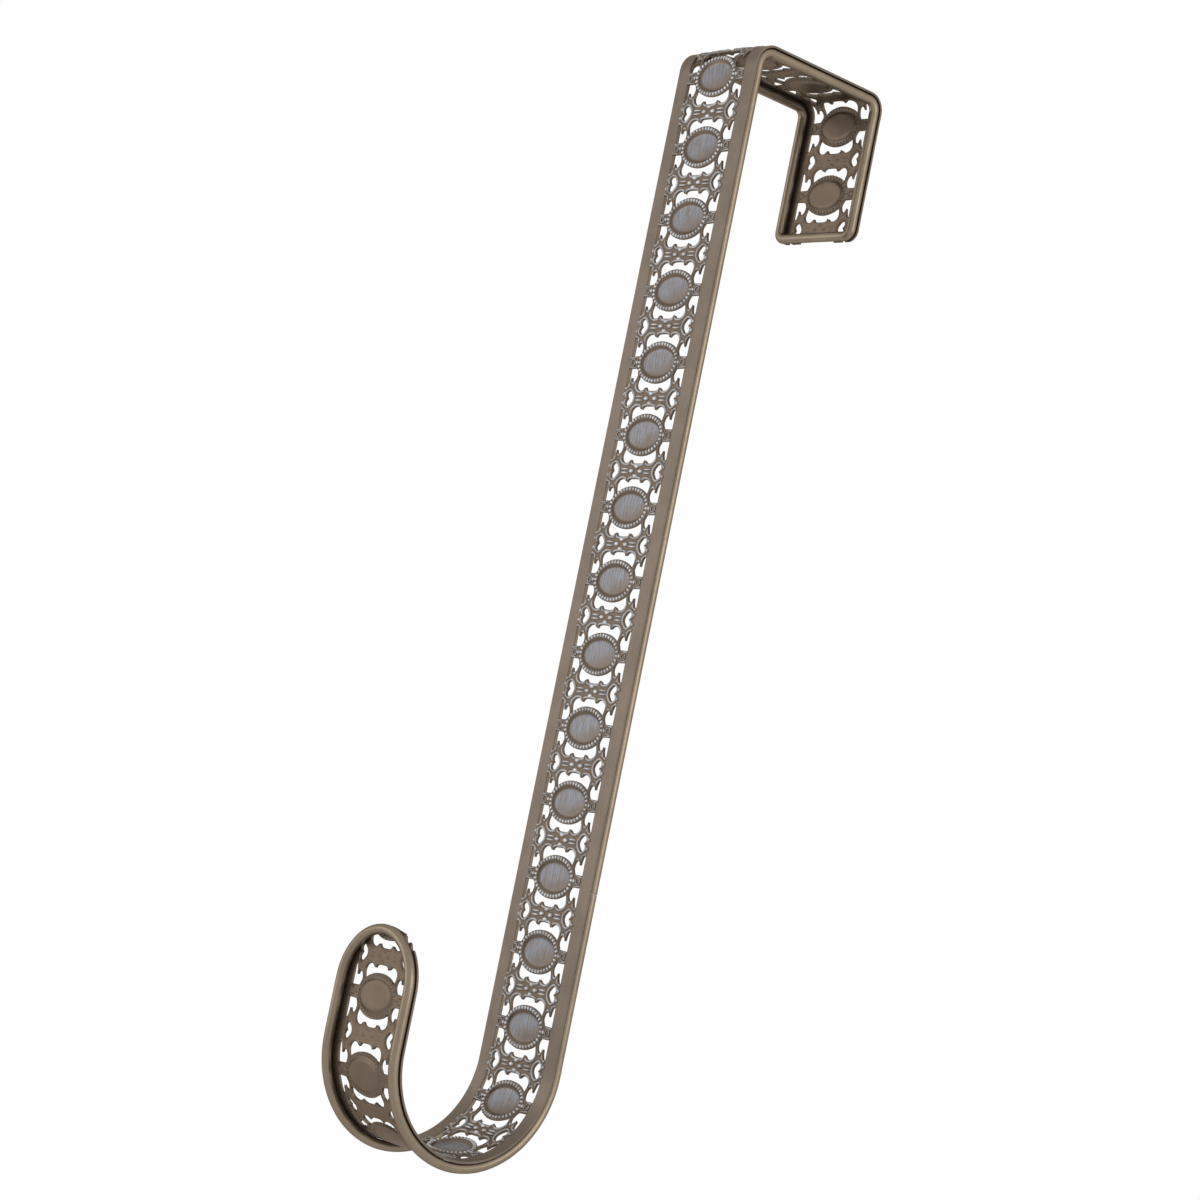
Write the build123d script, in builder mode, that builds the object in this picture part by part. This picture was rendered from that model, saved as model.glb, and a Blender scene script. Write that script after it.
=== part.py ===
from build123d import *
from math import cos, floor, radians, sin
import os

# An over-the-door wreath hanger, in two pieces soldered together: a closed loop of round wire,
# and a pierced, embossed strip of sheet on its outer side. Both are bent together into a saddle
# that drops over a door's top edge, a long front leg, and a half-round hook.
#
# X runs across the strip and the front leg faces -Y. The origin is on the door's top edge, midway
# through the door's thickness, so the two wires of the saddle rest at z = 0.

# Saddle, legs and hook, in millimetres
door_gap = 51.0  # clear width between the wires of the front leg and of the rear leg
rear_drop = 46.0  # door's top edge down to the end of the rear leg
hook_drop = 331.0  # door's top edge down to the centre of the hook's bend
hook_mouth = 59.0  # clear width between the front leg and the hook's rising end
riser_height = 36.0  # centre of the hook's bend up to its rounded tip
front_bend_radius = 7.2  # to the middle of the sheet
rear_bend_radius = 5.6

# Wire. It is round, and its section is drawn with a few flats because it runs through many bends
wire_diameter = 3.2
wire_sides = 8
frame_width = 37.0  # over the two long wires
tail_corner_radius = 4.0  # outer corner of the wire at the end of the rear leg
butt_height = 57.0  # the wire's ends meet this far above the centre of the hook's bend
butt_gap = 0.3

# Strip
sheet_thickness = 0.7
solder_gap = 0.05  # between the wire and the back of the strip
edge_inset = 0.2  # the strip's edge stops this far inside the wire's outer side
border_width = 5.0  # plain band along each edge

# The pattern repeats along the strip: a medallion, then a flower halfway to the next one
pitch = 24.0
first_medallion_drop = 7.0  # door's top edge down to the first medallion on the front leg
rim_width = 18.6
rim_length = 13.4
rim_height = 0.6
oval_sides = 10
crescent_shift = 7.2  # from a medallion's centre to the crescent holes above and below it
corner_shift = 5.0  # from a medallion's centre to the four holes beside it
end_margin = 1.0  # sheet left between the last hole and the strip's end
punch_depth = 2.0
crescent_middle = [(0, 0.2), (0, -1.3)]  # the crescent's edge towards the medallion, then towards the flower
crescent_horn = [(7.6, 2.2), (8.0, -0.8), (5.8, -2.2)]
corner_edge = (3.0, -3.1)  # where a corner hole's straight side along the border starts and stops
corner_point = [(8.7, -0.6), (8.9, 3.0)]
heart_corners = [(8.4, 0), (11.8, 2.6), (11.8, -2.6)]

# Places worked out from the sizes above
wire_radius = wire_diameter / 2
wire_x = frame_width / 2 - wire_radius
strip_x = frame_width / 2 - edge_inset
border_x = strip_x - border_width
wire_offset = -(sheet_thickness / 2 + solder_gap + wire_radius)
sheet_y = door_gap / 2 + wire_radius - wire_offset
sheet_z = wire_radius - wire_offset
hook_radius = (hook_mouth + sheet_thickness) / 2
riser_y = -sheet_y - 2 * hook_radius
tail_z = -rear_drop + edge_inset
tip_z = -hook_drop + riser_height - edge_inset
tip_centre_z = -hook_drop + riser_height - frame_width / 2


def run(offset, tail, tip):
    """Side view of the bent strip, offset to its front side, from the rear leg's end to the tip."""
    back = sheet_y + offset
    front = -sheet_y - offset
    top = sheet_z + offset
    legs = FilletPolyline(
        (back, tail),
        (back, top),
        (front, top),
        (front, -hook_drop),
        radius=(rear_bend_radius + offset, front_bend_radius + offset),
    )
    bowl = JernArc(legs @ 1, legs % 1, hook_radius - offset, -180)
    riser = Line(bowl @ 1, (riser_y + offset, tip))
    return legs, riser


def layer(low, high):
    """Cross section of a layer that follows every bend, between two offsets."""
    with BuildLine() as outline:
        low_legs, low_riser = run(low, tail_z, tip_z)
        high_legs, high_riser = run(high, tail_z, tip_z)
        Line(low_legs @ 0, high_legs @ 0)
        Line(low_riser @ 1, high_riser @ 1)
    make_face(outline.edges())


# The loop of wire: both sides of the bent run, joined round the tip and across the rear leg's end
corner_z = -rear_drop + tail_corner_radius
corner_bend = tail_corner_radius - wire_radius
tail_wire_y = sheet_y + wire_offset
tip_wire_y = riser_y + wire_offset

with BuildLine(Plane.YZ) as wire_side:
    run(wire_offset, corner_z, tip_centre_z)
side_wire = wire_side.wires()[0]

with BuildLine() as wire_loop:
    add(side_wire.moved(Location((wire_x, 0, 0))))
    add(side_wire.moved(Location((-wire_x, 0, 0))))
    with BuildLine(Plane.XZ.offset(-tip_wire_y)):
        JernArc((wire_x, tip_centre_z), (0, 1), wire_x, 180)
    with BuildLine(Plane.XZ.offset(-tail_wire_y)):
        right_corner = JernArc((wire_x, corner_z), (0, -1), corner_bend, -90)
        left_corner = JernArc((-wire_x, corner_z), (0, -1), corner_bend, 90)
        Line(right_corner @ 1, left_corner @ 1)
loop_wire = wire_loop.wires()[0]

with BuildPart() as wire_frame:
    with BuildSketch(Plane(origin=loop_wire @ 0, x_dir=(1, 0, 0), z_dir=loop_wire % 0)):
        RegularPolygon(wire_radius, wire_sides, major_radius=False, rotation=180 / wire_sides)
    sweep(path=loop_wire)
    with Locations((wire_x, -tail_wire_y, -hook_drop + butt_height)):
        Box(2 * wire_diameter, 2 * wire_diameter, butt_gap, mode=Mode.SUBTRACT)
wire_frame.part.label = "wire_frame"


# Planes along the middle of the sheet carry the pattern
with BuildLine(Plane.YZ) as middle:
    middle_legs, middle_riser = run(0, tail_z, tip_z)
middle_wire = middle.wires()[0]
pattern_start = middle_legs.length - (hook_drop - first_medallion_drop)


def stations(shift, *heights):
    """Planes a shift past each medallion, where what reaches these heights fits on the strip."""
    reach = max(abs(height) for height in heights)
    low = pattern_start + shift - reach - end_margin
    high = middle_wire.length - pattern_start - shift - reach - end_margin
    planes = []
    for step in range(-floor(low / pitch), floor(high / pitch) + 1):
        distance = pattern_start + step * pitch + shift
        point = middle_wire.position_at(distance, position_mode=PositionMode.LENGTH)
        along = middle_wire.tangent_at(distance, position_mode=PositionMode.LENGTH)
        planes.append(Plane(origin=point, x_dir=(1, 0, 0), z_dir=along.cross(Vector(1, 0, 0))))
    return planes


def oval(width, length):
    """Outline of a medallion, with few sides because it repeats so often."""
    angles = [radians(360 * side / oval_sides) for side in range(oval_sides)]
    with BuildLine() as outline:
        Polyline(*[(width / 2 * cos(angle), length / 2 * sin(angle)) for angle in angles], close=True)
    make_face(outline.edges())


def crescent_hole(side):
    """Opening between a medallion and a flower, with the flower's leaves reaching into it."""
    near, far = crescent_middle
    left = [(-x, y) for x, y in reversed(crescent_horn)]
    with BuildLine() as outline:
        Polyline(*[(x, side * y) for x, y in [near, *crescent_horn, far, *left]], close=True)
    make_face(outline.edges())


def corner_holes(side):
    """Openings on both sides of a medallion, between its ear and the flower's leaves."""
    corners = [(border_x, y) for y in corner_edge] + corner_point
    for across in (1, -1):
        with BuildLine() as outline:
            Polyline(*[(across * x, side * y) for x, y in corners], close=True)
        make_face(outline.edges())


def heart_holes():
    """Openings on both sides of a flower."""
    for across in (1, -1):
        with BuildLine() as outline:
            Polyline(*[(across * x, y) for x, y in heart_corners], close=True)
        make_face(outline.edges())


with BuildPart() as rims:
    with BuildSketch(Plane.YZ):
        layer(0, sheet_thickness / 2 + rim_height)
    extrude(amount=strip_x, both=True)
    with BuildSketch(*stations(0, rim_length / 2)):
        oval(rim_width, rim_length)
    extrude(amount=punch_depth, both=True, mode=Mode.INTERSECT)

with BuildPart() as filigree_strip:
    with BuildSketch(Plane.YZ):
        layer(-sheet_thickness / 2, sheet_thickness / 2)
    extrude(amount=strip_x, both=True)
    add(rims.part)
    for side in (1, -1):
        with BuildSketch(*stations(side * crescent_shift, *[y for x, y in crescent_horn])):
            crescent_hole(side)
        extrude(amount=punch_depth, both=True, mode=Mode.SUBTRACT)
        with BuildSketch(*stations(side * corner_shift, *corner_edge)):
            corner_holes(side)
        extrude(amount=punch_depth, both=True, mode=Mode.SUBTRACT)
    with BuildSketch(*stations(pitch / 2, *[y for x, y in heart_corners])):
        heart_holes()
    extrude(amount=punch_depth, both=True, mode=Mode.SUBTRACT)

    # The strip's ends follow the wire: round at the hook's tip, and with round corners at the tail
    with BuildSketch(Plane.XZ.offset(-riser_y)):
        with Locations((0, tip_centre_z)):
            Rectangle(frame_width, frame_width, align=(Align.CENTER, Align.MIN))
            Circle(strip_x, mode=Mode.SUBTRACT)
    extrude(amount=punch_depth, both=True, mode=Mode.SUBTRACT)
    with BuildSketch(Plane.XZ.offset(-sheet_y)):
        with Locations((0, -rear_drop)):
            Rectangle(frame_width, tail_corner_radius, align=(Align.CENTER, Align.MIN))
        with Locations((0, tail_z)):
            RectangleRounded(
                2 * strip_x,
                4 * tail_corner_radius,
                tail_corner_radius - edge_inset,
                align=(Align.CENTER, Align.MIN),
                mode=Mode.SUBTRACT,
            )
    extrude(amount=punch_depth, both=True, mode=Mode.SUBTRACT)
filigree_strip.part.label = "filigree_strip"


os.makedirs("parts", exist_ok=True)
export_step(wire_frame.part, "parts/wire_frame.step")
export_step(filigree_strip.part, "parts/filigree_strip.step")
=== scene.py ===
# %% [markdown]
# # A wreath hanger, dressed in antique bronze
# The real hanger is a loop of round wire with a strip of pierced, stamped brass sheet soldered to it.
# Both are bent together over a door's top edge, down its front, and up again into a hook.
# This lesson loads the solid model as a fixed frame, lays the pattern out flat, bends it to the
# hanger's side view, and then gives every surface its worn bronze finish. The solids could be shown
# as they are, but their plain holes and flats would look like a drawing of the hanger: the scrolls,
# lips and beads are what make it filigree, and they are made here.

# %% Load the frame
import bpy
import bmesh
from math import atan2, ceil, cos, pi, radians, sin
from mathutils import Matrix, Vector


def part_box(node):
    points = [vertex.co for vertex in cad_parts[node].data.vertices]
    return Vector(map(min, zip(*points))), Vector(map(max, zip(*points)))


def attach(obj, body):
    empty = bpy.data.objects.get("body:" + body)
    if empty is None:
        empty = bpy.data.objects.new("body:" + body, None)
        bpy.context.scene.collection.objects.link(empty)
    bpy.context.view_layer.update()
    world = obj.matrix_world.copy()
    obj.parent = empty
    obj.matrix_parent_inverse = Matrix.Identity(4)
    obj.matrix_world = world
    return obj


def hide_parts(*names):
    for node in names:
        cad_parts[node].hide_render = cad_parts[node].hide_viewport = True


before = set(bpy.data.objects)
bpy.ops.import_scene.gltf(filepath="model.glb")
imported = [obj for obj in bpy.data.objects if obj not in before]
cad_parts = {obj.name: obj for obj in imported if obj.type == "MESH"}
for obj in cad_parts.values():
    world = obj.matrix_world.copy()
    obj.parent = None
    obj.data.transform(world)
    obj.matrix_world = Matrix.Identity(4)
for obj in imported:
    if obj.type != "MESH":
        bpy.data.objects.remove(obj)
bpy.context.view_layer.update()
print("solids:", sorted(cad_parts))

# %% [markdown]
# ## Sizes
# The real hanger has to clear a door, so its bends are exact. The frame tells how wide the strip and
# the wire loop are, and measuring the bends from it would be possible too. They are named here
# instead, once each, because a named size can be read and changed. Blender counts in metres, and one
# factor turns the millimetres of a workshop drawing into metres.

# %% Sizes of the hanger
mm = 0.001

strip_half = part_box("filigree_strip")[1][0]  # middle of the strip to its edge
wire_radius = 1.6 * mm
wire_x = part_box("wire_frame")[1][0] - wire_radius  # middle of the hanger to the middle of the wire

sheet = 0.7 * mm  # thickness
wire_offset = -2.0 * mm  # middle of the sheet to the middle of the wire behind it
sheet_y = 29.1 * mm  # middle of the door to the middle of the sheet on either side
sheet_z = 3.6 * mm  # door's top edge to the middle of the sheet above it
rear_bend = 5.6 * mm
front_bend = 7.2 * mm
hook_bend = 29.85 * mm
hook_drop = 331.0 * mm  # door's top edge to the middle of the hook's bend
tail_z = -45.8 * mm  # where the strip ends on the rear leg
tip_z = -295.2 * mm  # and at the hook's tip
tip_centre_z = -313.5 * mm  # middle of the half circle at the tip
tail_corner_z = -42.0 * mm  # where the wire starts to turn round the rear leg's end
tail_corner = 2.4 * mm
butt_height = 57.0 * mm  # the wire's ends meet this far above the middle of the hook's bend
butt_gap = 0.06 * mm
repeat_length = 24.0  # one repeat of the pattern, in millimetres like its outlines
pitch = repeat_length * mm
first_medallion_z = -7.0 * mm
print("strip half width", round(strip_half / mm, 2), "mm, wire at", round(wire_x / mm, 2), "mm")

# %% [markdown]
# ## The side view as a road
# The maker stamps the strip flat and bends it afterwards. A Curve modifier could bend a flat mesh,
# but it squeezes what lies on the inner side of a bend, so here the side view is a road of straight
# runs and round bends, walked from the rear leg's end to the hook's tip. A point of the flat strip
# is told by how far across it is, how far along the road, and how high it stands on the sheet.

# %% Walk the side view
road = [
    ("straight", sheet_z - rear_bend - tail_z),
    ("bend", rear_bend, 90),
    ("straight", 2 * sheet_y - rear_bend - front_bend),
    ("bend", front_bend, 90),
    ("straight", sheet_z - front_bend + hook_drop),
    ("bend", hook_bend, -180),
    ("straight", hook_drop + tip_z),
]
stretches = []
place, heading, walked = Vector((sheet_y, tail_z)), radians(90), 0.0
for kind, size, *turn in road:
    length = size if kind == "straight" else size * radians(abs(turn[0]))
    stretches.append((walked, length, kind, size, radians(turn[0]) if turn else 0.0, place.copy(), heading))
    if kind == "straight":
        place += size * Vector((cos(heading), sin(heading)))
    else:
        side = 1 if turn[0] > 0 else -1
        centre = place + side * size * Vector((-sin(heading), cos(heading)))
        heading += radians(turn[0])
        place = centre - side * size * Vector((-sin(heading), cos(heading)))
    walked += length
strip_length = walked
leg_end = stretches[4][0] + stretches[4][1]
first_medallion = leg_end - (hook_drop + first_medallion_z)
print("strip is", round(strip_length / mm, 1), "mm long, first medallion at", round(first_medallion / mm, 1))


def bend_point(flat):
    """A point of the flat strip (across, along, height) in its place on the bent hanger."""
    across, along, height = flat
    stretch = stretches[0]
    for other in stretches[1:]:
        if along >= other[0]:
            stretch = other
    start, length, kind, size, turn, origin, direction = stretch
    ahead = along - start
    if kind == "straight":
        point = origin + ahead * Vector((cos(direction), sin(direction)))
        facing = direction
    else:
        side = 1 if turn > 0 else -1
        centre = origin + side * size * Vector((-sin(direction), cos(direction)))
        facing = direction + side * ahead / size
        point = centre - side * size * Vector((-sin(facing), cos(facing)))
    point += height * Vector((sin(facing), -cos(facing)))
    return Vector((across, point.x, point.y))


# %% [markdown]
# ## From a flat mesh to a piece
# On the real hanger everything turns the bends together, so one helper bends every piece. Each is
# built flat with bmesh operators. Before it is bent, each vertex keeps its flat place in an
# attribute, so that the finishes can follow the sheet round the bends. The normals are worked out
# afresh afterwards, because bending turns every face over. An open skin has no outside to find,
# so a lip keeps the direction that it was made in.

# %% Bend a mesh and make it a piece
def make_piece(name, bm, node, sharp=40, closed=True):
    """Bend a flat mesh, and hang it on the frame in place of a solid."""
    flat = bm.verts.layers.float_vector.get("flat") or bm.verts.layers.float_vector.new("flat")
    for vertex in bm.verts:
        vertex[flat] = vertex.co / mm
    for vertex in bm.verts:
        vertex.co = bend_point(vertex.co)
    bm.normal_update()
    if closed:
        bmesh.ops.recalc_face_normals(bm, faces=bm.faces)
    mesh = bpy.data.meshes.new(name)
    bm.to_mesh(mesh)
    bm.free()
    mesh.shade_smooth()
    mesh.set_sharp_from_angle(angle=radians(sharp))
    piece = bpy.data.objects.new(name, mesh)
    bpy.context.collection.objects.link(piece)
    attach(piece, "root")
    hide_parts(node)
    triangles = sum(len(polygon.vertices) - 2 for polygon in mesh.polygons)
    print(name, "has", triangles, "triangles")
    return piece


# %% [markdown]
# ## The wire loop
# The wire is one length of round rod whose ends meet in a butt joint on the front leg. A curve with
# a round bevel would give the same rod, but its ends and its bends are easier to hold here. A circle
# is pulled along the flat loop with the spin operator: with an angle it goes round a corner, and
# with a step and no angle it runs straight. Both ends are then filled and their rims bevelled, and
# this leaves the small nick that shows where they meet.

# %% Pull the wire round its loop
butt_along = leg_end - butt_height
tip_centre = strip_length + (tip_centre_z - tip_z)
tail_corner_along = tail_corner_z - tail_z
corner_x = wire_x - tail_corner
wire_sides = 20
wire_step = 1.0 * mm
tip_steps, corner_steps = 48, 10
nick = 0.22 * mm

wire = bmesh.new()
ring = bmesh.ops.create_circle(wire, segments=wire_sides, radius=wire_radius)["verts"]
bmesh.ops.rotate(wire, verts=ring, cent=(0, 0, 0), matrix=Matrix.Rotation(radians(90), 3, "X"))
bmesh.ops.translate(wire, verts=ring, vec=(wire_x, butt_along + butt_gap / 2, wire_offset))


def run_straight(edges, vector):
    steps = max(1, ceil(vector.length / wire_step))
    made = bmesh.ops.spin(wire, geom=edges, axis=(0, 0, 1), cent=(0, 0, 0), dvec=vector / steps,
                          angle=0, steps=steps)
    return [item for item in made["geom_last"] if isinstance(item, bmesh.types.BMEdge)]


def run_round(edges, centre, degrees, steps):
    made = bmesh.ops.spin(wire, geom=edges, axis=(0, 0, 1), cent=centre, angle=radians(degrees),
                          steps=steps)
    return [item for item in made["geom_last"] if isinstance(item, bmesh.types.BMEdge)]


edges = run_straight(wire.edges[:], Vector((0, tip_centre - butt_along - butt_gap / 2, 0)))
edges = run_round(edges, (0, tip_centre, wire_offset), 180, tip_steps)
edges = run_straight(edges, Vector((0, tail_corner_along - tip_centre, 0)))
edges = run_round(edges, (-corner_x, tail_corner_along, wire_offset), 90, corner_steps)
edges = run_straight(edges, Vector((2 * corner_x, 0, 0)))
edges = run_round(edges, (corner_x, tail_corner_along, wire_offset), 90, corner_steps)
edges = run_straight(edges, Vector((0, butt_along - butt_gap / 2 - tail_corner_along, 0)))
last_cap = bmesh.ops.edgeloop_fill(wire, edges=edges)["faces"]
first_cap = bmesh.ops.edgeloop_fill(wire, edges=[e for e in wire.edges if e.is_boundary])["faces"]
rim = [edge for face in last_cap + first_cap for edge in face.edges]
bmesh.ops.bevel(wire, geom=rim, offset=nick, offset_type="OFFSET", segments=2, profile=0.5,
                affect="EDGES", material=-1)
wire_piece = make_piece("wire_loop", wire, "wire_frame")

# %% [markdown]
# ## The outlines of one repeat
# The strip is stamped by a punch that repeats. One repeat runs from the middle of a medallion to the
# middle of the next, with a flower halfway. Boolean cutters could punch the holes, but curves with
# smooth and sharp points give scrolls and barbs with few numbers. The pattern is symmetrical, so only
# a part of each outline is written, and the rest is mirrored.

# %% Outlines of one repeat, in millimetres, s for a smooth point and c for a corner
border_inner = 13.3  # middle of the strip to the inner edge of its plain border
flower_y = repeat_length / 2
notch_quarter = [
    (9.1, 0, "c"), (8.6, 2.0, "s"), (7.9, 3.3, "s"), (7.35, 4.2, "c"), (7.65, 5.2, "s"), (8.0, 6.6, "s"),
    (7.95, 7.7, "s"), (7.2, 8.8, "s"), (5.8, 9.35, "s"), (4.5, 9.15, "s"), (3.9, 8.6, "c"),
    (3.1, 8.3, "c"), (2.75, 8.9, "s"), (2.0, 9.35, "s"), (0.8, 9.45, "s"),
]
corner_outline = [
    (border_inner, 1.95, "c"), (border_inner, 8.1, "c"), (12.3, 8.1, "s"), (11.9, 7.4, "s"),
    (11.2, 5.1, "c"), (10.7, 6.1, "s"), (9.9, 6.4, "s"), (9.1, 6.0, "s"), (8.55, 4.9, "s"), (8.5, 3.6, "s"),
    (9.3, 2.1, "c"), (13.1, 1.96, "c"),
]
heart_half = [
    (8.5, flower_y, "s"), (9.1, 13.4, "s"), (10.7, 14.5, "s"), (11.8, 13.7, "s"), (11.6, 12.7, "s"),
]


def mirrored_across(points):
    return [(-x, y, kind) for x, y, kind in reversed(points)]


def mirrored_along(points):
    return [(x, repeat_length - y, kind) for x, y, kind in reversed(points)]


half_width = strip_half / mm
notch = notch_quarter + mirrored_across(notch_quarter)
heart_outline = heart_half + [(11.1, flower_y, "c")] + mirrored_along(heart_half[1:])
border = [(half_width, 0, "c"), (half_width, repeat_length, "c")] + mirrored_along(notch)[::-1]
border += [(-half_width, repeat_length, "c"), (-half_width, 0, "c")] + notch[::-1]
holes = [heart_outline, mirrored_across(heart_outline)]
for corner in (corner_outline, mirrored_along(corner_outline)):
    holes += [corner, mirrored_across(corner)]
print("one repeat has", len(holes), "holes, and a notch at each end")

# %% [markdown]
# ## From outlines to a sheet
# A flat curve object fills what lies inside its outlines and leaves their holes open, just as the
# punch does. Its points could be walked and filled by hand, but the curve also rounds the smooth
# points. It is turned into a mesh and then removed, so that only the mesh stays.

# %% Draw the outlines as one flat curve and fill it
def filled_outlines(name, outlines, fineness):
    """A flat mesh that fills outlines of smooth and sharp points."""
    curve = bpy.data.curves.new(name, "CURVE")
    curve.dimensions = "2D"
    curve.fill_mode = "FRONT"
    curve.resolution_u = fineness
    for outline in outlines:
        spline = curve.splines.new("BEZIER")
        spline.bezier_points.add(len(outline) - 1)
        for point, (x, y, kind) in zip(spline.bezier_points, outline):
            point.co = (x, y, 0)
            point.handle_left_type = point.handle_right_type = "AUTO" if kind == "s" else "VECTOR"
        spline.use_cyclic_u = True
    drawn = bpy.data.objects.new(name, curve)
    bpy.context.collection.objects.link(drawn)
    bpy.context.view_layer.update()
    mesh = bpy.data.meshes.new_from_object(drawn.evaluated_get(bpy.context.evaluated_depsgraph_get()))
    bpy.data.objects.remove(drawn)
    return mesh


points_between = 4
repeat_mesh = filled_outlines("repeat_outline", [border] + holes, points_between)
print("one repeat is filled with", len(repeat_mesh.polygons), "faces")

# %% [markdown]
# ## Every edge as a loop of points
# The lips beside the holes will follow the edges of the sheet. Their points could be computed again
# from the outlines, but reading them back from the filled mesh keeps lip and sheet together to the
# last digit. Walking an edge the way its face does keeps the sheet on the left.

# %% Read the edges
def edge_loops(bm):
    """The open edges of a flat mesh, as loops of points with the mesh on their left."""
    follow = {}
    for edge in bm.edges:
        if edge.is_boundary:
            corner = edge.link_loops[0]
            follow[corner.vert] = corner.link_loop_next.vert
    loops = []
    while follow:
        vertex, after = follow.popitem()
        loop = [vertex.co.copy()]
        while after in follow:
            loop.append(after.co.copy())
            after = follow.pop(after)
        loops.append(loop)
    return loops


repeat = bmesh.new()
repeat.from_mesh(repeat_mesh)
loops = edge_loops(repeat)
print("edges of one repeat:", [len(loop) for loop in loops])

# %% [markdown]
# ## Repeats and ends
# The strip was cut from a longer roll, so its pattern simply stops at both ends. An Array modifier
# could repeat it, but the duplicate operator puts every copy at a place that can be named. A convex
# end is cut by the bisect planes that touch it: a half circle at the tip, and two rounded corners at
# the tail. Every piece of the strip is repeated and trimmed by the same helpers.

# %% Helpers that repeat, trim and thicken
flower_repeats = (-5, 18)  # first and last, and the same for the medallions
medallion_repeats = (-4, 19)
tail_round = 3.8 * mm
tip_turn, tail_turn = 5, 15  # degrees between the cuts of a round end


def copies(bm, first, last):
    """Move a flat mesh to its first repeat and duplicate it up to the last one."""
    original = bm.verts[:] + bm.edges[:] + bm.faces[:]
    for number in range(first + 1, last + 1):
        made = bmesh.ops.duplicate(bm, geom=original)["geom"]
        bmesh.ops.translate(bm, vec=(0, first_medallion + number * pitch, 0),
                            verts=[item for item in made if isinstance(item, bmesh.types.BMVert)])
    bmesh.ops.translate(bm, vec=(0, first_medallion + first * pitch, 0),
                        verts=[item for item in original if isinstance(item, bmesh.types.BMVert)])


def cut_outside(bm, centre, degrees, reach):
    """Cut away what lies past the line that touches a round end in this direction."""
    outward = Vector((cos(radians(degrees)), sin(radians(degrees)), 0))
    touch = Vector((centre[0], centre[1], 0)) + reach * outward
    bmesh.ops.bisect_plane(bm, geom=bm.verts[:] + bm.edges[:] + bm.faces[:], dist=0.001 * mm,
                           clear_outer=True, plane_co=touch, plane_no=outward)


def trim_ends(bm, inset=0.0):
    """Cut the tip round, then the tail's two corners, then the tail straight across."""
    for degrees in range(tip_turn, 180, tip_turn):
        cut_outside(bm, (0, tip_centre), degrees, strip_half - inset)
    for side in (1, -1):
        for turn in range(tail_turn, 90, tail_turn):
            degrees = -turn if side == 1 else 180 + turn
            cut_outside(bm, (side * (strip_half - tail_round), tail_round), degrees, tail_round - inset)
    cut_outside(bm, (0, 0), -90, -inset)


def thicken(bm, thickness):
    """Give a flat sheet its back and its edges."""
    made = bmesh.ops.extrude_face_region(bm, geom=bm.faces[:], use_keep_orig=True)["geom"]
    back = [item for item in made if isinstance(item, bmesh.types.BMVert)]
    bmesh.ops.translate(bm, vec=(0, 0, -thickness), verts=back)


print("the strip is", round(strip_length / pitch, 1), "repeats long")

# %% [markdown]
# ## The pierced sheet
# The real sheet bends smoothly, and a mesh can only bend where it has edges. A filled curve has few,
# at places of its own, so its flat faces are merged and then cut into even slices across the strip.
# The Subdivide operator would cut everywhere alike and cost far more faces. After that the repeats
# are welded into one sheet, the ends are trimmed, and the sheet is extruded to its thickness.

# %% Slice one repeat, repeat it and thicken it
slices = 20
weld = 0.003 * mm
bmesh.ops.dissolve_limit(repeat, angle_limit=0.01, verts=repeat.verts,
                         edges=[edge for edge in repeat.edges if not edge.is_boundary])
for number in range(1, slices):
    everything = repeat.verts[:] + repeat.edges[:] + repeat.faces[:]
    bmesh.ops.bisect_plane(repeat, geom=everything, dist=0.001,
                           plane_co=(0, repeat_length * number / slices, 0), plane_no=(0, 1, 0))
bmesh.ops.scale(repeat, vec=(mm, mm, mm), verts=repeat.verts)
bmesh.ops.translate(repeat, vec=(0, 0, sheet / 2), verts=repeat.verts)
copies(repeat, *flower_repeats)
bmesh.ops.remove_doubles(repeat, verts=repeat.verts, dist=weld)
trim_ends(repeat)
thicken(repeat, sheet)
sheet_piece = make_piece("pierced_sheet", repeat, "filigree_strip")

# %% [markdown]
# ## The rolled lips
# Stamping rolls the edge of every hole into a rounded lip, and that is what turns a pierced sheet
# into filigree. A bevel on the sheet's edges would only round them, and the lips stand higher than
# the sheet. So they are skins of their own, which run along the edges that carry them. The plain
# borders have none, and the medallions cover the edges beneath them.

# %% Find where the lips run
edge_margin = 0.1
tolerance = 0.01
medallion_cover = (9.5, 7.0)  # half width and half length of the oval without lips


def has_lip(point):
    """Lips stop at the plain borders, at the seams between repeats and under the medallions."""
    if abs(point.x) > border_inner - edge_margin:
        return False
    near = min(point.y, repeat_length - point.y)
    covered = (point.x / medallion_cover[0]) ** 2 + (near / medallion_cover[1]) ** 2 <= 1
    return not covered and near > tolerance


def lip_runs(loop):
    """The stretches of an edge that carry a lip, each with the points beside it."""
    kept = [has_lip(point) for point in loop]
    if all(kept):
        return [loop + loop[:1]]
    start = kept.index(False)
    turned = loop[start:] + loop[:start]
    runs, run = [], []
    for point in turned + turned[:1]:
        if has_lip(point):
            run.append(point)
        elif run:
            runs.append(run)
            run = []
    return [run for run in runs if len(run) > 2]


runs = [run for loop in loops for run in lip_runs(loop)]
print("lips in one repeat:", len(runs), "with", sum(len(run) for run in runs), "points")

# %% [markdown]
# ## The section of a lip
# The section is a list of distances from the edge with heights. It rises from the sheet, turns over
# the cut edge and shows, lower, on the back. Copies of it stand at every point of a run, square to
# the edge, and are joined into a skin. A curve with a bevel could follow the edge too, but it keeps
# one width, and where two edges come close a lip has to be narrower and lower or the two would cross.

# %% Sweep the lips along the edges
lip_section = [(1.25, 0.30), (0.95, 0.50), (0.60, 0.67), (0.28, 0.65), (0.04, 0.42), (-0.05, 0.0),
               (0.06, -0.40), (0.45, -0.54), (0.95, -0.30)]
least_rise = 0.45  # share of its height that a narrow lip keeps
end_reach = 0.5 * mm  # an end runs on this far, sunk into the sheet
end_height = 0.30 * mm
lip_inset = 0.05 * mm  # lips end this far inside the strip's cut ends


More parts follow.
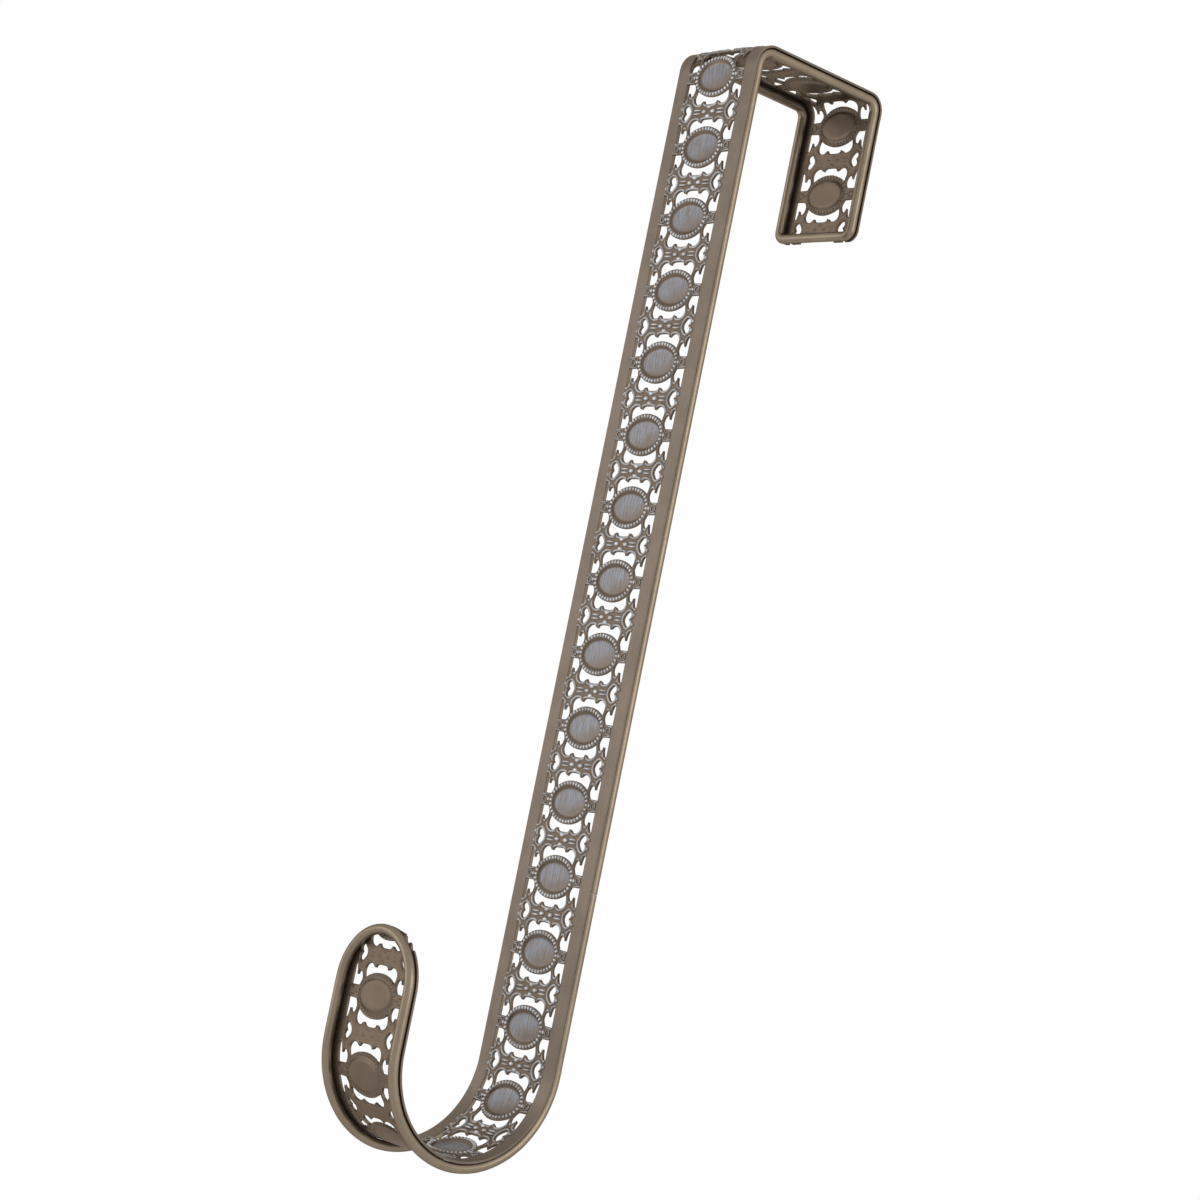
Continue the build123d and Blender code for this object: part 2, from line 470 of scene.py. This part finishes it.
def skin(bm, rows):
    """Join rows of vertices, each row to the next, with four-sided faces."""
    for row, following in zip(rows, rows[1:]):
        for number in range(len(row) - 1):
            bm.faces.new((row[number], following[number], following[number + 1], row[number + 1]))


def room(point, inward):
    """How far the middle of the sheet is from an edge point: the largest circle that fits there."""
    reach = lip_section[0][0]
    for loop in loops:
        for other in loop:
            apart = other - point
            ahead = apart.dot(inward)
            if ahead > tolerance:
                reach = min(reach, apart.length_squared / (2 * ahead))
    return reach / lip_section[0][0]


def sweep_lip(bm, run):
    """Stand sections along a run of edge points and join them, with sunk ends if it is open."""
    closed = run[0] == run[-1]
    points = run[:-1] if closed else run
    rows = []
    for number, point in enumerate(points):
        before = points[number - 1] if number or closed else point
        after = points[(number + 1) % len(points)] if number + 1 < len(points) or closed else point
        onward = (point - before).normalized() + (after - point).normalized()
        inward = Vector((-onward.y, onward.x, 0)).normalized()
        share = room(point, inward)
        row = []
        for across, height in lip_section:
            rise = height - sheet / mm / 2 if height > sheet / mm / 2 else 0.0
            lifted = height - rise * (1 - max(share, least_rise))
            row.append(bm.verts.new((point + inward * across * share + Vector((0, 0, lifted))) * mm))
        rows.append(row)
    if closed:
        skin(bm, rows + rows[:1])
        return
    for end, onward in ((rows[0], points[0] - points[1]), (rows[-1], points[-1] - points[-2])):
        sunk = [bm.verts.new(vertex.co + onward.normalized() * end_reach) for vertex in end]
        for vertex in sunk:
            vertex.co.z = max(-end_height, min(end_height, vertex.co.z))
        if end is rows[0]:
            rows.insert(0, sunk)
        else:
            rows.append(sunk)
    skin(bm, rows)


lips = bmesh.new()
for run in runs:
    sweep_lip(lips, run)
copies(lips, *flower_repeats)
trim_ends(lips, lip_inset)
lip_piece = make_piece("rolled_lips", lips, "filigree_strip", sharp=70, closed=False)

# %% [markdown]
# ## The medallions
# A medallion is an oval dish with a raised rim. It could be sculpted from a filled oval, but every
# step of its profile is an oval of its own width, length and height. So a circle is scaled to the
# outermost oval, and its edge is extruded inwards and scaled again for each of the others. The
# outermost edge covers the seam with the sheet and closes the holes above and below it.

# %% Extrude one medallion inwards
dish_sides = 80
dish_ovals = [  # half width, half length and height, in millimetres
    (9.40, 7.00, 0.34), (9.28, 6.88, 0.43), (9.00, 6.58, 0.46), (8.45, 5.85, 0.46), (8.12, 5.42, 0.40),
    (7.95, 5.12, 0.22), (7.72, 4.75, -0.02), (7.50, 4.42, -0.16), (6.90, 3.90, -0.20), (5.20, 2.95, -0.18),
    (3.40, 1.95, -0.16), (1.60, 0.90, -0.15), (0.20, 0.12, -0.15),
]

medallion = bmesh.new()
oval = bmesh.ops.create_circle(medallion, segments=dish_sides, radius=mm)["verts"]
oval_edges = medallion.edges[:]
last_width, last_length, last_height = 1.0, 1.0, 0.0
for step, (width, length, height) in enumerate(dish_ovals):
    if step:
        made = bmesh.ops.extrude_edge_only(medallion, edges=oval_edges)["geom"]
        oval = [item for item in made if isinstance(item, bmesh.types.BMVert)]
        oval_edges = [item for item in made if isinstance(item, bmesh.types.BMEdge)
                      and item.verts[0] in oval and item.verts[1] in oval]
    bmesh.ops.scale(medallion, vec=(width / last_width, length / last_length, 1), verts=oval)
    bmesh.ops.translate(medallion, vec=(0, 0, (height - last_height) * mm), verts=oval)
    last_width, last_length, last_height = width, length, height
bmesh.ops.edgeloop_fill(medallion, edges=oval_edges)
copies(medallion, *medallion_repeats)
trim_ends(medallion)
thicken(medallion, sheet)
medallion_piece = make_piece("medallions", medallion, "filigree_strip")

# %% [markdown]
# ## Beads and ears
# Each rim carries a ring of beads, pressed from the back. They could be a displacement of the rim,
# but that needs a very fine mesh. So a bead is a low sphere, stretched and sunk into the rim, with a
# few dozen faces because there are hundreds of them. It is deeper than the sheet, so it also marks
# the back. An ear joins each medallion to a border, with one more bead and a small ring.

# %% Helpers for beads and rings
bead_count = 34
bead_oval = (8.72, 6.15)
bead_height, bead_size = 0.20, (0.84, 0.63, 0.74)
ear_bead_across, ear_bead_size = 9.95, (0.62, 0.85, 0.72)
ear_ring_across, ear_ring_radius, ear_ring_height = 11.75, 1.0, 0.10
ear_ring_section = (0.34, 0.60)  # half its width and half its height
ear_ring_sides, ear_ring_steps = 8, 20


def add_boss(bm, place, size, turn=0.0, sides=10, rings=6):
    """A stretched sphere at a place (across, along, height), with half sizes in millimetres."""
    made = bmesh.ops.create_uvsphere(bm, u_segments=sides, v_segments=rings, radius=1)["verts"]
    bmesh.ops.scale(bm, vec=Vector(size) * mm, verts=made)
    bmesh.ops.rotate(bm, cent=(0, 0, 0), matrix=Matrix.Rotation(turn, 3, "Z"), verts=made)
    bmesh.ops.translate(bm, vec=Vector(place) * mm, verts=made)


def add_ear_ring(bm, across):
    """A small ring that stands half out of the sheet: a stretched circle spun round its middle."""
    section = bmesh.ops.create_circle(bm, segments=ear_ring_sides, radius=1)["verts"]
    edges = list({edge for vertex in section for edge in vertex.link_edges})
    bmesh.ops.scale(bm, vec=(ear_ring_section[0] * mm, ear_ring_section[1] * mm, 1), verts=section)
    bmesh.ops.rotate(bm, cent=(0, 0, 0), matrix=Matrix.Rotation(radians(90), 3, "X"), verts=section)
    bmesh.ops.translate(bm, vec=((across + ear_ring_radius) * mm, 0, ear_ring_height * mm), verts=section)
    bmesh.ops.spin(bm, geom=section + edges, axis=(0, 0, 1), cent=(across * mm, 0, 0),
                   angle=radians(360), steps=ear_ring_steps, use_merge=True)


def evenly_round(oval, count, fineness=720):
    """Points spaced evenly along an oval, each with the direction straight out of it."""
    angles = [2 * pi * number / fineness for number in range(fineness + 1)]
    points = [Vector((oval[0] * cos(angle), oval[1] * sin(angle))) for angle in angles]
    walked = [0.0]
    for before, after in zip(points, points[1:]):
        walked.append(walked[-1] + (after - before).length)
    spaced, step = [], 0
    for number in range(count):
        while walked[step] < walked[-1] * number / count:
            step += 1
        spaced.append((points[step], atan2(points[step].y / oval[1] ** 2, points[step].x / oval[0] ** 2)))
    return spaced


spaced = evenly_round(bead_oval, bead_count)
print("beads stand", round((spaced[1][0] - spaced[0][0]).length, 2), "mm apart round a rim")

# %% [markdown]
# ## One repeat of beads
# All beads of one repeat go into one mesh before it is copied. A child object for each bead would be
# easier to move, but there are more than eight hundred, and the hanger is one stamping. The strip's
# ends cut through some of them, so their cut sides are filled again.

# %% Beads round the rims, ear beads and ear rings
beads = bmesh.new()
for point, outward in spaced:
    add_boss(beads, (point.x, point.y, bead_height), bead_size, turn=outward)
for side in (1, -1):
    add_boss(beads, (side * ear_bead_across, 0, bead_height), ear_bead_size)
    add_ear_ring(beads, side * ear_ring_across)
copies(beads, *medallion_repeats)
trim_ends(beads)
bmesh.ops.holes_fill(beads, edges=[edge for edge in beads.edges if edge.is_boundary])
bead_piece = make_piece("rim_beads", beads, "filigree_strip")

# %% [markdown]
# ## The flowers
# Halfway between two medallions stands a flower of four petals. On each side of it a pair of ribs
# runs to the heart-shaped hole, and two small beads stand between that hole and the border. They
# could be drawn and extruded like the sheet, but pressed metal is round on top, so all of them are
# stretched spheres again, with more faces for the petals because they are the largest.

# %% Petals, ribs and border beads
petal_across, petal_along, petal_height = 2.1, 1.6, 0.20
side_petal_size, end_petal_size = (1.30, 0.85, 0.74), (1.35, 0.85, 0.74)
rib_across, rib_shift, rib_size = 5.4, 0.6, (2.45, 0.48, 0.64)
border_bead_across, border_bead_shift = 13.05, 1.5
border_bead_height, border_bead_size = 0.30, (0.60, 0.75, 0.50)

flowers = bmesh.new()
for side in (1, -1):
    add_boss(flowers, (side * petal_across, flower_y, petal_height), side_petal_size, sides=14, rings=8)
    add_boss(flowers, (0, flower_y + side * petal_along, petal_height), end_petal_size, sides=14, rings=8)
    for along in (flower_y - rib_shift, flower_y + rib_shift):
        add_boss(flowers, (side * rib_across, along, petal_height), rib_size, sides=12)
    for along in (flower_y - border_bead_shift, flower_y + border_bead_shift):
        add_boss(flowers, (side * border_bead_across, along, border_bead_height), border_bead_size)
copies(flowers, *flower_repeats)
flower_piece = make_piece("flowers", flowers, "filigree_strip")

# %% [markdown]
# ## The finish
# Brass is given a dark bronze patina and then rubbed, so the patina stays in the hollows and wears
# off the raised lips and beads. An image could be painted for that, but the flat height of each
# point, kept in an attribute before bending, already says which is which, and nodes that read it
# stay sharp from any distance. A small class keeps the lines that add nodes short.

# %% Helpers for finishes
class Finish:
    """A material with a few short ways to add nodes to it."""

    def __init__(self, name):
        self.material = bpy.data.materials.new(name)
        self.material.use_nodes = True
        self.tree = self.material.node_tree
        self.shader = self.tree.nodes["Principled BSDF"]

    def feed(self, socket, value):
        if isinstance(value, bpy.types.NodeSocket):
            self.tree.links.new(value, socket)
        else:
            socket.default_value = value

    def maths(self, operation, first, second=0.0):
        node = self.tree.nodes.new("ShaderNodeMath")
        node.operation = operation
        self.feed(node.inputs[0], first)
        self.feed(node.inputs[1], second)
        return node.outputs[0]

    def ramp(self, value, low, high, at_low=0.0, at_high=1.0):
        node = self.tree.nodes.new("ShaderNodeMapRange")
        node.interpolation_type = "SMOOTHSTEP"
        self.feed(node.inputs["Value"], value)
        for name, number in (("From Min", low), ("From Max", high), ("To Min", at_low), ("To Max", at_high)):
            node.inputs[name].default_value = number
        return node.outputs[0]

    def mixed(self, factor, first, second):
        node = self.tree.nodes.new("ShaderNodeMix")
        node.data_type = "RGBA"
        self.feed(node.inputs[0], factor)
        self.feed(node.inputs[6], first)
        self.feed(node.inputs[7], second)
        return node.outputs[2]

    def noise(self, vector, scale, detail=3.0, roughness=0.55):
        node = self.tree.nodes.new("ShaderNodeTexNoise")
        self.feed(node.inputs["Vector"], vector)
        for name, number in (("Scale", scale), ("Detail", detail), ("Roughness", roughness)):
            node.inputs[name].default_value = number
        return node.outputs["Fac"]

    def stretched(self, vector, factors):
        node = self.tree.nodes.new("ShaderNodeVectorMath")
        node.operation = "MULTIPLY"
        self.feed(node.inputs[0], vector)
        node.inputs[1].default_value = factors
        return node.outputs[0]

    def bump(self, height, strength, distance):
        node = self.tree.nodes.new("ShaderNodeBump")
        self.feed(node.inputs["Height"], height)
        node.inputs["Strength"].default_value = strength
        node.inputs["Distance"].default_value = distance
        self.tree.links.new(node.outputs["Normal"], self.shader.inputs["Normal"])

    def place(self):
        return self.tree.nodes.new("ShaderNodeTexCoord").outputs["Object"]


# %% [markdown]
# ## Tones of the metal
# Antique bronze looks like one brown, but it is several: a grey brown sheet, a darker patina,
# silvery rubbed metal and a warmer wire. An image of worn metal could give them, but it would show
# its repeats on so long a strip. So each tone is one colour, chosen by comparing the picture with the
# real hanger, and noise in the object's own coordinates makes it cloudy.

# %% Bronze, patina and worn metal
bronze = (0.185, 0.148, 0.120, 1)
back_bronze = (0.175, 0.132, 0.098, 1)
patina = (0.150, 0.112, 0.082, 1)
worn = (0.410, 0.412, 0.430, 1)
# The bright tone is rubbed metal on the highest tops, made near white as a painted highlight.
bright_wear_and_highlight = (0.700, 0.708, 0.730, 1)
brushed = (0.240, 0.262, 0.305, 1)
wire_bronze = (0.270, 0.216, 0.160, 1)
black = (0, 0, 0, 1)

cloud_scale, cloud_share = 90.0, 0.12
grain_scale, grain_detail = 1600.0, 2.0
cloud_edges, grain_edges = (0.35, 0.65), (0.2, 0.8)  # noise values that a ramp spreads out
metal_share = 0.75


def aged(finish, color):
    """Faint cloudy variation of the tone, and a fine grain for the gloss."""
    clouds = finish.noise(finish.place(), cloud_scale)
    grain = finish.noise(finish.place(), grain_scale, grain_detail)
    darker = finish.mixed(cloud_share, color, black)
    tone = finish.mixed(finish.ramp(clouds, *cloud_edges), darker, color)
    return tone, grain


def as_metal(finish, tone, roughness, tint):
    """Connect tone and roughness; the tint colours reflections at a low angle."""
    finish.feed(finish.shader.inputs["Base Color"], tone)
    finish.feed(finish.shader.inputs["Roughness"], roughness)
    finish.shader.inputs["Metallic"].default_value = metal_share
    finish.shader.inputs["Specular Tint"].default_value = tint
    return finish.material


print("tones:", bronze[:3], back_bronze[:3], patina[:3], worn[:3], bright_wear_and_highlight[:3], brushed[:3], wire_bronze[:3])

# %% [markdown]
# ## Brushed dish floors
# The floors of the dishes were brushed along the strip, in uneven strokes. Fine grooves could be
# modelled, but they are thinner than a hair, so a noise stretched along the strip draws them, as tone
# and as a faint bump. Towards one side of each floor the silver fades into the patina: that is a
# painted reflection of the light in the hollow dish. The place within a repeat tells where a floor is.

# %% Helpers for the dish floors
floor_oval = (7.8, 4.8)  # half width and half length, in millimetres
floor_fade = (0.72, 1.0)  # squared share of that oval over which the floor ends
floor_from = (-0.34, -0.26)  # heights over which the back turns into the floor
stroke_stretch = (2.6, 0.16, 1.0)
stroke_detail, stroke_roughness = 4.0, 0.75
stroke_edges, least_shine = (0.38, 0.60), 0.10
stroke_bump, stroke_depth = 0.25, 0.05 * mm
# Painted reflection: the brushed silver is kept on one side of each floor and fades into the patina towards
# the other.
reflection_lean_across, reflection_lean_along = 0.06, 0.16
reflection_edges, least_reflection = (-0.3, 0.8), 0.12


def dish_floor(finish, across, along, height):
    """How far a point belongs to a dish floor, and how far along it is from the dish's middle."""
    turned = finish.maths("SUBTRACT", along, first_medallion / mm - flower_y)
    local = finish.maths("SUBTRACT", finish.maths("FLOORED_MODULO", turned, repeat_length), flower_y)
    squares = []
    for away, reach in zip((across, local), floor_oval):
        share = finish.maths("DIVIDE", finish.maths("ABSOLUTE", away), reach)
        squares.append(finish.maths("POWER", share, 2.0))
    inside = finish.ramp(finish.maths("ADD", *squares), *floor_fade, 1.0, 0.0)
    return finish.maths("MULTIPLY", inside, finish.ramp(height, *floor_from)), local


def brush_and_reflection(finish, flat, floor_part, across, local):
    """Uneven strokes on a dish floor, with a painted reflection that fades them towards one side of it."""
    strokes = finish.noise(finish.stretched(flat, stroke_stretch), 1.0, stroke_detail, stroke_roughness)
    finish.bump(strokes, stroke_bump, stroke_depth)
    shine = finish.ramp(strokes, *stroke_edges, least_shine, 1.0)
    reflection_lean = finish.maths("ADD", finish.maths("MULTIPLY", across, reflection_lean_across),
                        finish.maths("MULTIPLY", local, reflection_lean_along))
    # The kept share is the painted reflection: the brushed silver falls off towards one side of the floor.
    kept = finish.ramp(reflection_lean, *reflection_edges, 1.0, least_reflection)
    return finish.maths("MULTIPLY", finish.maths("MULTIPLY", floor_part, shine), kept)


print("a dish floor reaches", floor_oval, "mm from its middle")

# %% [markdown]
# ## The stamped sheet
# Seen from the border inwards the sheet changes from plain to worn: hollows keep their patina, the
# lips are rubbed, and the tops of the beads are rubbed bright, lightened to near white as a painted
# highlight. Each piece could have a finish of its own, but the wear runs on from piece to piece, so
# one finish reads the height and serves them all. The back was never rubbed and keeps one even tone.

# %% The finish of the sheet, with or without dish floors
front_from = (-0.35, -0.25)  # heights in millimetres over which each change takes place
hollow_from, hollow_to = (-0.30, -0.10), (0.34, 0.54)
rubbed_from, bright_and_highlight_from = (0.42, 0.68), (0.66, 0.90)
border_blend = 0.15
patina_share, rubbed_share = 0.85, 0.9
patina_on_floor = 0.3
patch_scale, patch_edges, least_rubbed = 260.0, (0.35, 0.60), 0.55
sheet_roughness = (0.40, 0.46)
sheet_tint = (0.55, 0.48, 0.40, 1)


def hollow_part(finish, across, height):
    """Where the patina stays: low places of the pattern, but not the plain borders."""
    from_middle = finish.maths("ABSOLUTE", across)
    pattern = finish.ramp(from_middle, border_inner - border_blend, border_inner + border_blend, 1.0, 0.0)
    low = finish.ramp(height, *hollow_to, 1.0, 0.0)
    low = finish.maths("MULTIPLY", low, finish.ramp(height, *hollow_from))
    return finish.maths("MULTIPLY", low, pattern)


def sheet_finish(name, dish=False):
    """Patina in hollows, wear and a painted highlight on what stands up, and brushed floors with a painted
    reflection if dished.
    """
    finish = Finish(name)
    flat = finish.tree.nodes.new("ShaderNodeAttribute")
    flat.attribute_name = "flat"
    parts = finish.tree.nodes.new("ShaderNodeSeparateXYZ")
    finish.feed(parts.inputs[0], flat.outputs["Vector"])
    across, along, height = parts.outputs
    tone, grain = aged(finish, finish.mixed(finish.ramp(height, *front_from), back_bronze, bronze))

    hollow = hollow_part(finish, across, height)
    if dish:
        floor_part, local = dish_floor(finish, across, along, height)
        brushed_and_reflection_part = brush_and_reflection(finish, flat.outputs["Vector"], floor_part, across, local)
        hollow = finish.maths("MULTIPLY", hollow, finish.ramp(floor_part, 0.0, 1.0, 1.0, patina_on_floor))
    tone = finish.mixed(finish.maths("MULTIPLY", hollow, patina_share), tone, patina)

    patches = finish.ramp(finish.noise(finish.place(), patch_scale), *patch_edges, least_rubbed, 1.0)
    rubbed = finish.maths("MULTIPLY", finish.ramp(height, *rubbed_from), patches)
    # The highest tops turn near white: rubbed metal with a painted highlight.
    polished_and_highlight = finish.mixed(finish.ramp(height, *bright_and_highlight_from), worn, bright_wear_and_highlight)
    tone = finish.mixed(finish.maths("MULTIPLY", rubbed, rubbed_share), tone, polished_and_highlight)
    if dish:
        # Brushed floors, with their silver kept on one side as a painted reflection.
        tone = finish.mixed(brushed_and_reflection_part, tone, brushed)
    return as_metal(finish, tone, finish.ramp(grain, *grain_edges, *sheet_roughness), sheet_tint)


stamped_bronze = sheet_finish("stamped_bronze")
dished_bronze = sheet_finish("dished_bronze", dish=True)
for material in (stamped_bronze, dished_bronze):
    print(material.name, "has", len(material.node_tree.nodes), "nodes")

# %% [markdown]
# ## The wire's finish
# The wire was darkened together with the sheet, but it is smoother and warmer, and it shines more.
# It has no hollows, so it needs no height. The sheet's finish could be used with other numbers, but a
# short finish of its own is easier to read.

# %% The finish of the wire, and which piece has which finish
wire_roughness = (0.30, 0.42)
wire_tint = (0.30, 0.24, 0.18, 1)


def wire_finish(name):
    finish = Finish(name)
    tone, grain = aged(finish, wire_bronze)
    return as_metal(finish, tone, finish.ramp(grain, *grain_edges, *wire_roughness), wire_tint)


wire_piece.data.materials.append(wire_finish("wire_bronze"))
medallion_piece.data.materials.append(dished_bronze)
for piece in (sheet_piece, lip_piece, bead_piece, flower_piece):
    piece.data.materials.append(stamped_bronze)
for piece in (wire_piece, sheet_piece, lip_piece, medallion_piece, bead_piece, flower_piece):
    print(piece.name, "is finished in", piece.data.materials[0].name)

# %% [markdown]
# ## Floor and backdrop
# The hanger is photographed in front of white paper, far enough from it that no shadow falls beside
# it. The world alone could be the white background, but paper below the hanger also sends some
# light up to it. The paper and the sky are plain white for the camera and in reflections, and only
# their light on the object is kept low, so that the bronze keeps its own colour.

# %% Floor and backdrop
floor_z = -0.80
floor_size = 4.0
paper_tone = (0.85, 0.85, 0.85, 1)
paper_roughness = 0.9
paper_glow = 1.1
paper_share = 0.85  # of the glow in what the camera and reflections see


def sees_white(tree):
    """1 for rays that should find a plain white background."""
    rays = tree.nodes.new("ShaderNodeLightPath")
    total = rays.outputs["Is Camera Ray"]
    for name in ("Is Glossy Ray", "Is Transmission Ray"):
        node = tree.nodes.new("ShaderNodeMath")
        node.operation = "MAXIMUM"
        tree.links.new(total, node.inputs[0])
        tree.links.new(rays.outputs[name], node.inputs[1])
        total = node.outputs[0]
    return total


def paper(name):
    """Matt paper that glows white for the camera and in reflections."""
    material = bpy.data.materials.new(name)
    material.use_nodes = True
    tree = material.node_tree
    matt = tree.nodes["Principled BSDF"]
    matt.inputs["Base Color"].default_value = paper_tone
    matt.inputs["Roughness"].default_value = paper_roughness
    white = tree.nodes.new("ShaderNodeEmission")
    white.inputs["Color"].default_value = (1, 1, 1, 1)
    white.inputs["Strength"].default_value = paper_glow
    share = tree.nodes.new("ShaderNodeMath")
    share.operation = "MULTIPLY"
    tree.links.new(sees_white(tree), share.inputs[0])
    share.inputs[1].default_value = paper_share
    mix = tree.nodes.new("ShaderNodeMixShader")
    tree.links.new(share.outputs[0], mix.inputs[0])
    tree.links.new(matt.outputs[0], mix.inputs[1])
    tree.links.new(white.outputs[0], mix.inputs[2])
    tree.links.new(mix.outputs[0], tree.nodes["Material Output"].inputs["Surface"])
    return material


floor = bmesh.new()
bmesh.ops.create_grid(floor, x_segments=1, y_segments=1, size=floor_size)
bmesh.ops.translate(floor, vec=(0, 0, floor_z), verts=floor.verts)
floor_mesh = bpy.data.meshes.new("studio_floor")
floor.to_mesh(floor_mesh)
floor.free()
floor_mesh.materials.append(paper("white_paper"))
floor_piece = bpy.data.objects.new("studio_floor", floor_mesh)
bpy.context.collection.objects.link(floor_piece)
print("the paper lies", -floor_z, "m below the door's top edge")

# %% [markdown]
# ## World and lamps
# In a white studio most of the light comes from all sides at once. A ring of lamps could imitate
# it, but a white world does it evenly. The world is white for the camera and in reflections, and
# shines on the object at half strength. Two large soft lamps, one from the right and one from the
# front, then shape the round forms.

# %% World and lamps
sky_seen, sky_light = 1.0, 0.50
lamp_target = (0, -0.03, -0.18)

world = bpy.data.worlds.new("studio")
bpy.context.scene.world = world
world.use_nodes = True
sky = world.node_tree.nodes["Background"]
sky.inputs["Color"].default_value = (1, 1, 1, 1)
strength = world.node_tree.nodes.new("ShaderNodeMix")
strength.data_type = "FLOAT"
strength.inputs[2].default_value = sky_light
strength.inputs[3].default_value = sky_seen
world.node_tree.links.new(sees_white(world.node_tree), strength.inputs[0])
world.node_tree.links.new(strength.outputs[0], sky.inputs["Strength"])


def lamp(name, place, size, watts, color):
    """A round soft lamp that points at the middle of the hanger."""
    light = bpy.data.lights.new(name, "AREA")
    light.color = color
    light.shape = "DISK"
    light.size = size
    light.energy = watts
    holder = bpy.data.objects.new(name, light)
    holder.location = place
    holder.rotation_euler = (Vector(lamp_target) - Vector(place)).to_track_quat("-Z", "Y").to_euler()
    bpy.context.collection.objects.link(holder)
    print(name, "shines with", watts, "W from", place)


lamp("side_lamp", (1.1, 0.20, 0.0), size=0.8, watts=4, color=(1.0, 0.95, 0.87))
lamp("fill_lamp", (-0.85, -1.1, -0.05), size=0.9, watts=3, color=(1.0, 0.98, 0.95))

# %% [markdown]
# ## Camera
# The camera stands where the photographer stood: to the right of the front, a little below the
# middle, and about a metre away. A constraint could aim it at the hanger, but it would take away its
# slight roll. So its place and its turn are written as they were fitted to the evenly repeated
# pattern, and the long lens shows the whole hanger.

# %% Camera
camera_place = (0.71956, -0.64508, -0.27398)
camera_turn = (95.664, -11.393, 48.513)  # degrees
camera_sensor, camera_lens = 36, 89.53  # millimetres

camera_data = bpy.data.cameras.new("camera")
camera_data.sensor_width = camera_sensor
camera_data.lens = camera_lens
camera = bpy.data.objects.new("camera", camera_data)
camera.location = camera_place
camera.rotation_euler = [radians(degrees) for degrees in camera_turn]
bpy.context.collection.objects.link(camera)
bpy.context.scene.camera = camera
bpy.context.scene.view_settings.view_transform = "Standard"
print("the camera is", round((Vector(camera_place) - Vector(lamp_target)).length, 3), "m from the hanger")
